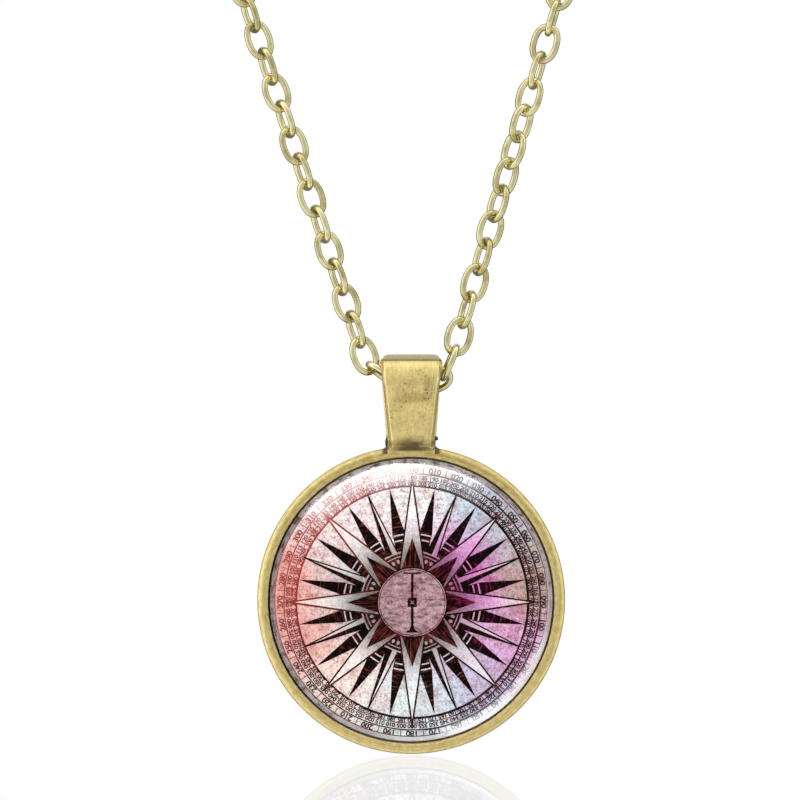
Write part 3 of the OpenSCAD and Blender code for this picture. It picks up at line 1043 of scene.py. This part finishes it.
class Bail:
    """The bail's bent strip, in its side view about the swing axis: back is positive."""

    def __init__(self, sizes):
        self.sizes = sizes
        self.outer_r = SETTING_HIGH.z - SWING.z
        self.mid_r = self.outer_r - sizes.strip / 2
        self.rim_drop = SWING.z - (DIAL_MID.z + TRAY_R)
        self.end_drop = self.rim_drop + sizes.wall / 2

    def leg(self, side):
        """Foot of a leg, and the angle at which it leaves the round top."""
        foot = np.array([side * (self.sizes.foot / 2 - self.sizes.strip / 2), -self.end_drop])
        bearing = math.atan2(foot[1], side * foot[0])
        return foot, bearing + math.acos(self.mid_r / np.linalg.norm(foot))

    def stations(self):
        """Middle, outward direction and side (front or back) of each cross-section."""
        out = []
        for side, order in ((-1, 1), (1, -1)):
            foot, angle = self.leg(side)
            normal = np.array([side * math.cos(angle), math.sin(angle)])
            top = normal * self.mid_r
            span = np.linalg.norm(top - foot)
            near = self.sizes.solder * CLOSE_TO / span
            shares = [*np.linspace(0, near, BY_SOLDER), *np.linspace(near, 1, ON_LEG)[1:-1]]
            legs = [(foot + (top - foot) * f, normal, side) for f in shares]
            top_angle = math.radians(90)
            turn = [top_angle + (angle - top_angle) * (1 - k / ON_BEND) for k in range(ON_BEND + 1)]
            ways = [np.array([side * math.cos(a), math.sin(a)]) for a in turn]
            bend = [(way * self.mid_r, way, side) for way in ways]
            out.append((legs + bend)[::order])
        return out[0] + out[1][1:]

    def half_width(self, z, side):
        """Half width of the strip at a height over the swing axis."""
        s = self.sizes
        foot_width = s.front_width if side < 0 else s.back_width
        shoulder = self.outer_r - s.corner
        share = (z + self.rim_drop) / (shoulder + self.rim_drop)
        half = (foot_width + (s.top_width - foot_width) * min(1, max(0, share))) / 2
        if z > shoulder:
            over = min(1, (z - shoulder) / s.corner)
            half -= s.corner * (1 - math.sqrt(1 - over * over))
        return half

    def section(self, half):
        """Closed outline of the strip, across and outward: bevelled outer edges and rounded inner ones."""
        thick, bevel = self.sizes.strip / 2, self.sizes.bevel
        flat = half - bevel
        right = [(flat * f, thick) for f in (0, 0.25, 0.5, 0.75, 0.93)]
        right += [(flat + bevel * across, thick - bevel * back) for across, back in BEVEL]
        right += arc((half - INNER_EDGE, -thick + INNER_EDGE), INNER_EDGE, 0, -90, 4)
        right += [(half * f, -thick) for f in (0.6, 0.3)]
        outline = right + [(0, -thick)] + [(-u, v) for u, v in reversed(right[1:])]
        return [(u, v + (CAMBER * (1 - (u / half) ** 2) if v > 0 else 0)) for u, v in outline]

    def solder(self, x, z):
        """How far the solder stands out from the strip, at this place over the rim."""
        rim = -(self.rim_drop + TRAY_R) + math.sqrt(max(0, TRAY_R**2 - x * x))
        over = (z - rim) / self.sizes.solder
        if over >= 1:
            return 0
        share = 1 - max(0, over)
        return self.sizes.solder * (1 - math.sqrt(1 - share * share)) * SOLDER_THICK

    def mesh(self):
        """Points and faces of the strip, swollen by the solder at its foot."""
        points, faces, rows = [], [], []
        for middle, normal, side in self.stations():
            outline = self.section(self.half_width(middle[1] + normal[1] * self.sizes.strip / 2, side))
            rows.append(range(len(points), len(points) + len(outline)))
            for u, v in outline:
                place = middle + normal * v
                grow = self.solder(u, place[1])
                size = math.hypot(u, v * 4)
                place = middle + normal * (v + grow * v * 4 / size)
                points.append(SWING + Vector((u + grow * u / size, *place)))
        for low, high in zip(rows, rows[1:]):
            count = len(low)
            faces += [[low[k], low[(k + 1) % count], high[(k + 1) % count], high[k]] for k in range(count)]
        faces += [list(rows[0])[::-1], list(rows[-1])]
        return points, faces


# Beads of burnt solder beside the bail's foot: middle and half sizes, in millimetres
BURNT_BEADS = [
    ((-2.2, -78.1, -169.55), (0.11, 0.3, 0.42)),
    ((2.24, -78.1, -169.2), (0.15, 0.3, 0.2)),
]


def bead(middle, half):
    """A small rounded lump, as points and faces."""
    work = bmesh.new()
    bmesh.ops.create_icosphere(work, subdivisions=2, radius=1)
    points = [v.co * half + middle for v in work.verts]
    faces = [[v.index for v in f.verts] for f in work.faces]
    work.free()
    return points, faces


class PENDANT_OT_setting(bpy.types.Operator):
    """Builds the round tray with its rim and the bail that is soldered to it"""

    bl_idname = "pendant.setting"
    bl_label = "Setting"

    def execute(self, context):
        sizes, finishes = context.scene.setting_sizes, context.scene.finishes
        metal = setting_brass(finishes, (TRAY_R - sizes.wall) / MM)
        parts = [turned(tray_profile(sizes), TRAY_STEPS), Bail(sizes).mesh()]
        parts += [bead(Vector(middle) * MM, Vector(half) * MM) for middle, half in BURNT_BEADS]
        points, faces = [], []
        for more_points, more_faces in parts:
            faces += [[i + len(points) for i in face] for face in more_faces]
            points += more_points
        made = piece("setting_cast", points, faces, metal, "pendant", ["setting"], sharp=50)
        outwards(made.data)
        return {"FINISHED"}


def outwards(mesh):
    """Turns every closed shell's faces outwards."""
    work = bmesh.new()
    work.from_mesh(mesh)
    bmesh.ops.recalc_face_normals(work, faces=work.faces)
    work.to_mesh(mesh)
    work.free()


# Steps round the dome, and its rows
DOME_STEPS, DOME_ROWS = 192, 56
# Rounding of the dome's foot, how high its straight edge goes, and how far out its round top comes.
# Both stop a little short, which softens the corner between them
GLASS_FOOT = 0.12 * MM
EDGE_SHARE, TOP_SHARE = 0.8, 0.985


def dome_curve(height):
    """Radius of the dome's round top, from its whole height."""
    rise = height - GLASS_EDGE
    return (GLASS_R**2 + rise**2) / (2 * rise)


class PENDANT_OT_dome(bpy.types.Operator):
    """Builds the domed glass"""

    bl_idname = "pendant.dome"
    bl_label = "Glass dome"

    def execute(self, context):
        finishes = context.scene.finishes
        low, high = TRAY_BACK - GLASS_HIGH.y, TRAY_BACK - GLASS_LOW.y
        curve = dome_curve(high - low)
        angles = np.linspace(math.asin(GLASS_R / curve) * TOP_SHARE, 0, DOME_ROWS)[:-1]
        dome = [(curve * math.sin(a), high - curve * (1 - math.cos(a))) for a in angles]
        foot = arc((GLASS_R - GLASS_FOOT, low + GLASS_FOOT), GLASS_FOOT, -90, 0, 4)
        edge = (GLASS_R, low + GLASS_EDGE * EDGE_SHARE)
        points, faces = turned([(0, low), (GLASS_R * 0.5, low), *foot, edge, *dome, (0, high)], DOME_STEPS)
        glass = dome_glass("dome_glass", finishes, context.scene.dial_sizes)
        made = piece("glass_dome", points, faces, glass, "pendant", ["cabochon"], sharp=60)
        outwards(made.data)
        made.visible_shadow = False
        return {"FINISHED"}


def facing_front(name, points, faces):
    """A flat mesh whose faces look forward."""
    mesh = bpy.data.meshes.new(name)
    mesh.from_pydata(points, [], faces)
    for face in mesh.polygons:
        if face.normal.y > 0:
            face.flip()
    return mesh


class Drawing:
    """The compass rose as it is drawn on the paper, so that the dome shows it at its seen size."""

    def __init__(self, sizes):
        self.unit = sizes.pixel
        self.index = sizes.index
        self.layer = sizes.layer
        self.high = GLASS_HIGH.y - GLASS_LOW.y
        self.curve = dome_curve(self.high)

    def drawn(self, seen):
        """Radius on the paper of what is seen at a radius, in drawing units, by the dome's refraction."""
        h = seen * self.unit
        if h == 0:
            return 0
        slope = math.asin(min(1, h / self.curve))
        inside = math.asin(math.sin(slope) / self.index)
        thick = self.high - self.curve * (1 - math.cos(slope))
        return h - thick * math.tan(slope - inside)

    def at(self, across, up):
        """A point given in drawing units, on the paper."""
        seen = math.hypot(across, up)
        share = self.drawn(seen) / (seen * self.unit) if seen else self.unit
        return Vector((across * self.unit * share, 0, up * self.unit * share))

    def outline(self, *shapes):
        """Flat faces from outlines in drawing units, facing forward."""
        points, faces = [], []
        for shape in shapes:
            faces.append(list(range(len(points), len(points) + len(shape))))
            points += [self.at(*p) for p in shape]
        return facing_front("outline", points, faces)

    def ring(self, inner, outer, first=0, last=360, steps=192):
        """Flat ring or arc between two radii, as a strip of faces. Angles run clockwise from the top."""
        whole = last - first >= 360
        rows = steps if whole else steps + 1
        points = []
        for k in range(rows):
            a = math.radians(first + (last - first) * k / steps)
            points += [self.at(r * math.sin(a), r * math.cos(a)) for r in (inner, outer)]
        faces = []
        for k in range(steps):
            a, b = 2 * k, 2 * ((k + 1) % rows)
            faces.append([a, a + 1, b + 1, b])
        return facing_front("ring", points, faces)


def join_meshes(meshes):
    """One mesh out of several."""
    work = bmesh.new()
    for mesh in meshes:
        work.from_mesh(mesh)
    made = bpy.data.meshes.new("joined")
    work.to_mesh(made)
    work.free()
    return made


def ray(tip, *rows):
    """Outline of a ray that points up: its tip's radius, then radius and half width of each row below."""
    return [(0, tip)] + [(w, r) for r, w in rows] + [(-w, r) for r, w in reversed(rows)]


def inset(tip, base, line):
    """A ray's tip and base inside a line of even width."""
    slant = math.atan2(base[1], tip - base[0])
    return tip - line / math.sin(slant), (base[0], base[1] - line / math.cos(slant))


def half_ray(tip, base, side):
    """Outline of one half of a ray."""
    return [(0, tip), (side * base[1], base[0]), (0, base[0])]


def oval(across, up, half_across, half_up, steps=10):
    """Outline of an oval."""
    angles = [2 * math.pi * k / steps for k in range(steps)]
    return [(across + half_across * math.cos(a), up + half_up * math.sin(a)) for a in angles]


# The digits, as shares of their height: the font's size, how much bolder they are, and the space they take
FONT_SIZE = 1 / 0.7
BOLDER = 0.045
ADVANCE = 0.66


def digit_meshes(height, thick):
    """Thin closed meshes of the ten digits, facing forward."""
    made = {}
    for digit in "0123456789":
        curve = bpy.data.curves.new("digit", "FONT")
        curve.body = digit
        curve.size = height * FONT_SIZE
        curve.extrude = thick / 2
        curve.offset = BOLDER * height
        curve.resolution_u = 2
        curve.align_x = "CENTER"
        mesh = baked(in_scene("digit", curve))
        mesh.transform(Matrix.Translation((0, -thick / 2, 0)) @ Matrix.Rotation(math.radians(90), 4, "X"))
        made[digit] = mesh
    return made


def numbers_mesh(drawing, radius, height, step, ahead=0):
    """Numbers of degrees round the dial, with their tops outwards. Each says the bearing this far ahead."""
    work = bmesh.new()
    glyphs = digit_meshes(height * drawing.unit, 2 * drawing.layer)
    out = Matrix.Translation((0, 0, drawing.drawn(radius)))
    for degrees in range(0, 360, step):
        label = f"{(degrees + ahead) % 360:03d}"
        for k, digit in enumerate(label):
            a = math.radians(degrees) + ADVANCE * height / radius * (k - (len(label) - 1) / 2)
            turn = Matrix.Rotation(a, 4, "Y") @ out
            copy = glyphs[digit].copy()
            copy.transform(Matrix.Translation(ROSE_MID) @ turn)
            work.from_mesh(copy)
            bpy.data.meshes.remove(copy)
    made = bpy.data.meshes.new("numbers")
    work.to_mesh(made)
    work.free()
    return made


# The rose in drawing units, each radius as it is seen through the dome.
# Rings as middle radius and width, and heavier arcs as inner radius, width and the degrees clockwise from
# the top between which they run
RINGS = [(115.3, 1.7), (120.8, 0.8), (127.6, 1.2)]
HEAVY_ARCS = [(114.6, 2.4, 14, 108), (114.8, 2.0, 118, 205), (120.2, 1.3, 20, 160), (127.0, 1.8, 8, 175)]
STRIP_R = 136
EDGE_RINGS = [(STRIP_R, 0.9), (142.4, 1.2)]
# Rays as their tip's radius, then radius and half width of their belly and base
QUARTER_WIND = (115, (71, 6.2), (53, 5.4))
HALF_WIND = (122.5, (51.3, 6.3))
MAIN_WIND = (128.6, (33, 13.4))
DART = (64.5, (33, 10.6))
# How many of each stand round the middle, the first one's place and the step to the next, in degrees
QUARTERS, HALVES, MAINS = (16, 11.25, 22.5), (8, 22.5, 45), (8, 0, 45)
# Widths of the dark outline of the half and main rays
HALF_LINE, MAIN_LINE = 1.4, 1.6
# Dark ground behind the rays, and short pale arcs on it as radius, width and half of the degrees they span
GROUND = (30, 54.5)
BANDS = [(62, 1.3, 4.6), (67.5, 1.3, 4.6)]
COLLARS = [(46.8, 0.8, 11.5), (50.2, 1.5, 11.5)]
# Pairs of pale ovals inside the collars: their places across, then radius, half width and half length
EYES_ACROSS = (-2.6, 2.6)
EYE = (42.6, 1.5, 2.1)
# The hub's dark disc, and its paper with a thin ring round it
HUB_EDGE = (0.01, 35.4)
HUB = [(0.01, 32.4), (33.1, 34.0)]
NEEDLE = [
    [(-1.35, 28.5), (1.35, 28.5), (1.35, -24), (-1.35, -24)],
    [(-9, 30), (-9, 28.4), (9, 28.4), (9, 30)],
    [(-4.6, 4.6), (4.6, 4.6), (4.6, -4.6), (-4.6, -4.6)],
    [(-1.35, -23), (1.35, -23), (2.6, -27), (7.5, -30), (-7.5, -30), (-2.6, -27)],
]
PIVOT = [(-2.4, 2.4), (0, 0.7), (2.4, 2.4), (0.7, 0), (2.4, -2.4), (0, -0.7), (-2.4, -2.4), (-0.7, 0)]
TICK = [(-0.4, 128.6), (0.4, 128.6), (0.4, 134.8), (-0.4, 134.8)]
# Rows of numbers as name, radius, height, number steps from one to the next, and degrees that they are ahead
NUMBER_ROWS = [
    ("degree_numbers", 116.2, 4.2, 1, 0),
    ("reciprocal_numbers", 121.9, 4.6, 1, 180),
    ("bearing_numbers", 128.8, 6.1, 2, 0),
]


class PENDANT_OT_dial(bpy.types.Operator):
    """Builds the printed paper dial with its compass rose, rings and numbers"""

    bl_idname = "pendant.dial"
    bl_label = "Dial"

    def execute(self, context):
        sizes, finishes = context.scene.dial_sizes, context.scene.finishes
        draw = Drawing(sizes)
        unit_mm = sizes.pixel / MM
        stained = dial_paper(unit_mm, draw.drawn(STRIP_R) / MM)
        pale = ray_paper("main_ray_paper", unit_mm, (250, 250, 248), 0.5, 0.85)
        cream = ray_paper("half_ray_paper", unit_mm, (246, 232, 224), 0.42, 0.6)
        dusky = hub_paper()
        ink = line_ink(finishes)
        barred = field_ink("barred_ink", unit_mm, finishes, 5.0, 6.0, 0.07)
        streaked = field_ink("streaked_ink", unit_mm, finishes, 34.0, 0.5, 0.13)
        disc = frame["nodes"]["dial"]
        disc.data.materials.clear()
        disc.data.materials.append(stained)
        tree = print_tree()

        def add(name, mesh, material, level, count=1, first=0, step=0, middle=ROSE_MID):
            inputs = {
                "Middle": middle, "Count": count, "First": math.radians(first),
                "Step": math.radians(step), "Height": level * sizes.layer, "Material": material,
            }
            made = repeated(name, mesh, tree, inputs)
            dressed(name, made, material, "pendant", sharp=30)

        rings = [draw.ring(r - w / 2, r + w / 2) for r, w in RINGS]
        rings += [draw.ring(r, r + w, first, last, 96) for r, w, first, last in HEAVY_ARCS]
        add("print_rings", join_meshes(rings), ink, 1)
        edges = [draw.ring(r - w / 2, r + w / 2) for r, w in EDGE_RINGS]
        add("edge_rings", join_meshes(edges), ink, 1, middle=PAPER_MID)
        add("rose_ground", draw.ring(*GROUND), streaked, 1)
        add("quarter_winds", draw.outline(ray(*QUARTER_WIND)), barred, 2, *QUARTERS)
        bands = [draw.ring(r, r + w, -half, half, 6) for r, w, half in BANDS]
        add("quarter_bands", join_meshes(bands), cream, 3, *QUARTERS)
        collars = [draw.ring(r, r + w, -half, half, 12) for r, w, half in COLLARS]
        eyes = [draw.outline(oval(across, *EYE)) for across in EYES_ACROSS]
        add("collars", join_meshes(collars + eyes), cream, 3, *HALVES)
        add("half_winds_edge", draw.outline(ray(*HALF_WIND)), barred, 4, *HALVES)
        for where, side, first in (("west", 1, 247.5), ("east", -1, 67.5)):
            half = half_ray(*inset(*HALF_WIND, HALF_LINE), side)
            add("half_winds_" + where, draw.outline(half), cream, 5, 4, first, 45)
        add("main_winds_edge", draw.outline(ray(*MAIN_WIND)), ink, 5, *MAINS)
        add("main_winds", draw.outline(ray(*inset(*MAIN_WIND, MAIN_LINE))), pale, 6, *MAINS)
        add("main_darts", draw.outline(ray(*DART)), streaked, 7, *MAINS)
        add("hub_edge", draw.ring(*HUB_EDGE, steps=96), ink, 7)
        add("hub", join_meshes([draw.ring(*radii, steps=96) for radii in HUB]), dusky, 7.4)
        add("needle", draw.outline(*NEEDLE), ink, 7.6)
        add("pivot", draw.outline(PIVOT), cream, 7.8)
        step = sizes.number_step
        for name, radius, height, steps, ahead in NUMBER_ROWS:
            numbers = numbers_mesh(draw, radius, height, steps * step, ahead)
            dressed(name, numbers, ink, "pendant", sharp=30)
        add("ticks", draw.outline(TICK), ink, 1, 180 // step, step, 2 * step)
        return {"FINISHED"}


# Stage

# The photo's width and the place of the dial's middle in it, in pixels
PHOTO_WIDTH = 800
DIAL_PIXEL = (411.2, 599.8)
CAMERA_DISTANCE = 0.55


def camera():
    """A long lens, level with the photo's middle."""
    made = bpy.data.cameras.new("camera")
    holder = in_scene("camera", made)
    made.lens = made.sensor_width * CAMERA_DISTANCE / (PHOTO_WIDTH / PIXELS_PER_MM * MM)
    made.clip_start, made.clip_end = 0.01, 20
    half = PHOTO_WIDTH / 2
    across = (half - DIAL_PIXEL[0]) / PIXELS_PER_MM * MM
    up = (DIAL_PIXEL[1] - half) / PIXELS_PER_MM * MM
    holder.location = (across, SWING.y - CAMERA_DISTANCE, DIAL_MID.z + up)
    holder.rotation_euler = (math.radians(90), 0, 0)
    bpy.context.scene.camera = holder


# Level of the studio's light by angle from straight in front, in degrees: a soft front, bright sides,
# dark cards past them and a pale wall behind
RING_LIGHT = [
    (0, 0.52), (35, 0.58), (50, 0.72), (62, 0.76), (76, 1.25), (93, 1.4),
    (99, 0.28), (114, 0.2), (156, 0.18), (163, 0.95), (180, 1.0),
]
RING_TOP = 1.4
# How much brighter the upper left is than the lower right, and the angles between which that fades
RING_TILT = 0.35
TILT_FADE = (60, 120)
# Light from under the front: the angles between which it fades, how far down it grows, and its level
LOW_LIGHT = (30, 60, 0.1, 0.35, 0.36)
# How much less of the ring the polished glass mirrors, and the angles between which that ends
GLASS_DIM = 0.97
GLASS_DIM_FADE = (55, 84)
# The pale sweep above: from and to this angle from straight in front, and its level
SWEEP = (117, 156, 0.5)
# Bright panels that only the polished glass mirrors: from and to this angle from straight in front and
# how soft the inner edge is, then clockwise from the top, and their level
PANELS = [
    (65, 82, 8.0, -52, -20, 10.0),
    (64, 82, 8.0, -20, 4, 18.0),
    (64, 82, 8.0, 4, 34, 7.0),
    (75, 82, 4.0, 112, 166, 15.0),
    (76, 82, 1.5, 60, 112, 6.0),
]


def ring_light(graph, polar, across, up):
    """Level of the ring, of the sweep above and of the light from under the front."""
    stops = [(angle / 180, (level / RING_TOP,) * 3) for angle, level in RING_LIGHT]
    ring = graph.node("ShaderNodeValToRGB", {"stops": stops}, {0: polar / 180}) * RING_TOP
    ring = ring * (1 + (up * 0.8 - across * 0.6) * (1 - graph.smooth(polar, *TILT_FADE)) * RING_TILT)
    low, high, bright = SWEEP
    ring = ring + graph.band(polar, low, high, 2, 4) * graph.smooth(up, 0.3, 0.5) * bright
    near, far, least, most, bright = LOW_LIGHT
    return ring + (1 - graph.smooth(polar, near, far)) * graph.smooth(up * -1.0, least, most) * bright


def panel_light(graph, polar, clock):
    """Level of the bright panels."""
    panels = 0.0
    for low, high, soft, first, last, bright in PANELS:
        inside, beside = graph.band(polar, low, high, soft, 1), graph.band(clock, first, last, 5, 5)
        panels = inside * beside * bright + panels
    return panels


def studio_world():
    """White to the camera. Its light is a ring round the pendant, and panels that the glass mirrors."""
    world = bpy.data.worlds.new("studio")
    world.use_nodes = True
    bpy.context.scene.world = world
    graph = Graph(world.node_tree)
    world.node_tree.nodes.clear()
    way = graph.node("ShaderNodeTexCoord", {}, {}, "Generated")
    across, deep, up = (graph.split(way, axis) for axis in "XYZ")
    polar = graph.math("ARCCOSINE", deep * -1.0) * (180 / math.pi)
    clock = graph.math("ARCTAN2", across, up) * (180 / math.pi)
    mirrored = graph.node("ShaderNodeLightPath", {}, {}, "Is Singular Ray")
    dimmed = 1 - mirrored * (1 - graph.smooth(polar, *GLASS_DIM_FADE)) * GLASS_DIM
    level = ring_light(graph, polar, across, up) * dimmed + panel_light(graph, polar, clock) * mirrored
    seen = graph.node("ShaderNodeLightPath", {}, {}, "Is Camera Ray")
    strength = seen + (1 - seen) * level
    light = graph.node("ShaderNodeBackground", {}, {"Color": (1, 1, 1, 1), "Strength": strength})
    leave = world.node_tree.nodes.new("ShaderNodeOutputWorld")
    graph.feed(leave.inputs["Surface"], light)


# The lamp for matt surfaces: place from the dial's middle, side in metres, and power in watts
LAMP_PLACE = (-0.1, -0.5, 0.25)
LAMP_SIZE = 0.3
LAMP_POWER = 3.1


def paper_light(aim):
    """A soft front light for matt surfaces, without a reflection of its own."""
    made = bpy.data.lights.new("front_light", "AREA")
    made.size, made.energy = LAMP_SIZE, LAMP_POWER
    lamp = in_scene("front_light", made)
    lamp.location = aim + Vector(LAMP_PLACE)
    lamp.rotation_euler = (aim - lamp.location).to_track_quat("-Z", "Y").to_euler()
    lamp.visible_camera = lamp.visible_glossy = lamp.visible_transmission = False


# The floor's half width, how far it lies under the pendant, and its share of reflection
FLOOR_HALF = 4.0
FLOOR_GAP = 0.1 * MM
FLOOR_MIRROR = 0.2


def studio_floor():
    """A white floor just under the pendant, with a faint reflection. It lights and shades nothing."""
    z = SETTING_LOW.z - FLOOR_GAP
    mesh = bpy.data.meshes.new("floor")
    corners = [(x * FLOOR_HALF, y * FLOOR_HALF, z) for x, y in ((-1, -1), (1, -1), (1, 1), (-1, 1))]
    mesh.from_pydata(corners, [], [[0, 1, 2, 3]])
    made = in_scene("floor", mesh)
    material = bpy.data.materials.new("floor")
    material.use_nodes = True
    graph = Graph(material.node_tree)
    material.node_tree.nodes.clear()
    glow = graph.node("ShaderNodeEmission", {}, {"Color": (1, 1, 1, 1), "Strength": 1.0})
    mirror = graph.node("ShaderNodeBsdfGlossy", {}, {"Color": (1, 1, 1, 1), "Roughness": 0.02})
    both = graph.node("ShaderNodeMixShader", {}, {0: FLOOR_MIRROR, 1: glow, 2: mirror})
    leave = material.node_tree.nodes.new("ShaderNodeOutputMaterial")
    graph.feed(leave.inputs["Surface"], both)
    mesh.materials.append(material)
    made.visible_diffuse = made.visible_glossy = made.visible_transmission = made.visible_shadow = False


class PENDANT_OT_stage(bpy.types.Operator):
    """Sets up the camera, the studio's light and the floor"""

    bl_idname = "pendant.stage"
    bl_label = "Stage"

    def execute(self, context):
        context.scene.view_settings.view_transform = "Standard"
        camera()
        studio_world()
        studio_floor()
        paper_light(Vector((0, SWING.y, DIAL_MID.z)))
        return {"FINISHED"}


class PENDANT_PT_panel(bpy.types.Panel):
    """Lists the steps and the sizes"""

    bl_idname = "PENDANT_PT_panel"
    bl_label = "Compass pendant"
    bl_space_type = "VIEW_3D"
    bl_region_type = "UI"
    bl_category = "Pendant"

    def draw(self, context):
        for step in STEPS:
            self.layout.operator(step.bl_idname)
        for holder in GROUPS:
            settings = getattr(context.scene, holder)
            box = self.layout.box()
            for key in settings.__annotations__:
                box.prop(settings, key)


STEPS = (
    PENDANT_OT_stage, PENDANT_OT_chain, PENDANT_OT_fastening,
    PENDANT_OT_setting, PENDANT_OT_dial, PENDANT_OT_dome,
)
GROUPS = {
    "chain_sizes": ChainSizes, "setting_sizes": SettingSizes, "dial_sizes": DialSizes, "finishes": Finishes,
}


def register():
    for cls in (*GROUPS.values(), *STEPS, PENDANT_PT_panel):
        bpy.utils.register_class(cls)
    for name, cls in GROUPS.items():
        setattr(bpy.types.Scene, name, bpy.props.PointerProperty(type=cls))


def unregister():
    for name in GROUPS:
        delattr(bpy.types.Scene, name)
    for cls in (PENDANT_PT_panel, *reversed(STEPS), *reversed(GROUPS.values())):
        bpy.utils.unregister_class(cls)


def main():
    register()
    bpy.ops.pendant.stage()
    bpy.ops.pendant.chain()
    bpy.ops.pendant.fastening()
    bpy.ops.pendant.setting()
    bpy.ops.pendant.dial()
    bpy.ops.pendant.dome()


if __name__ == "__main__":
    main()
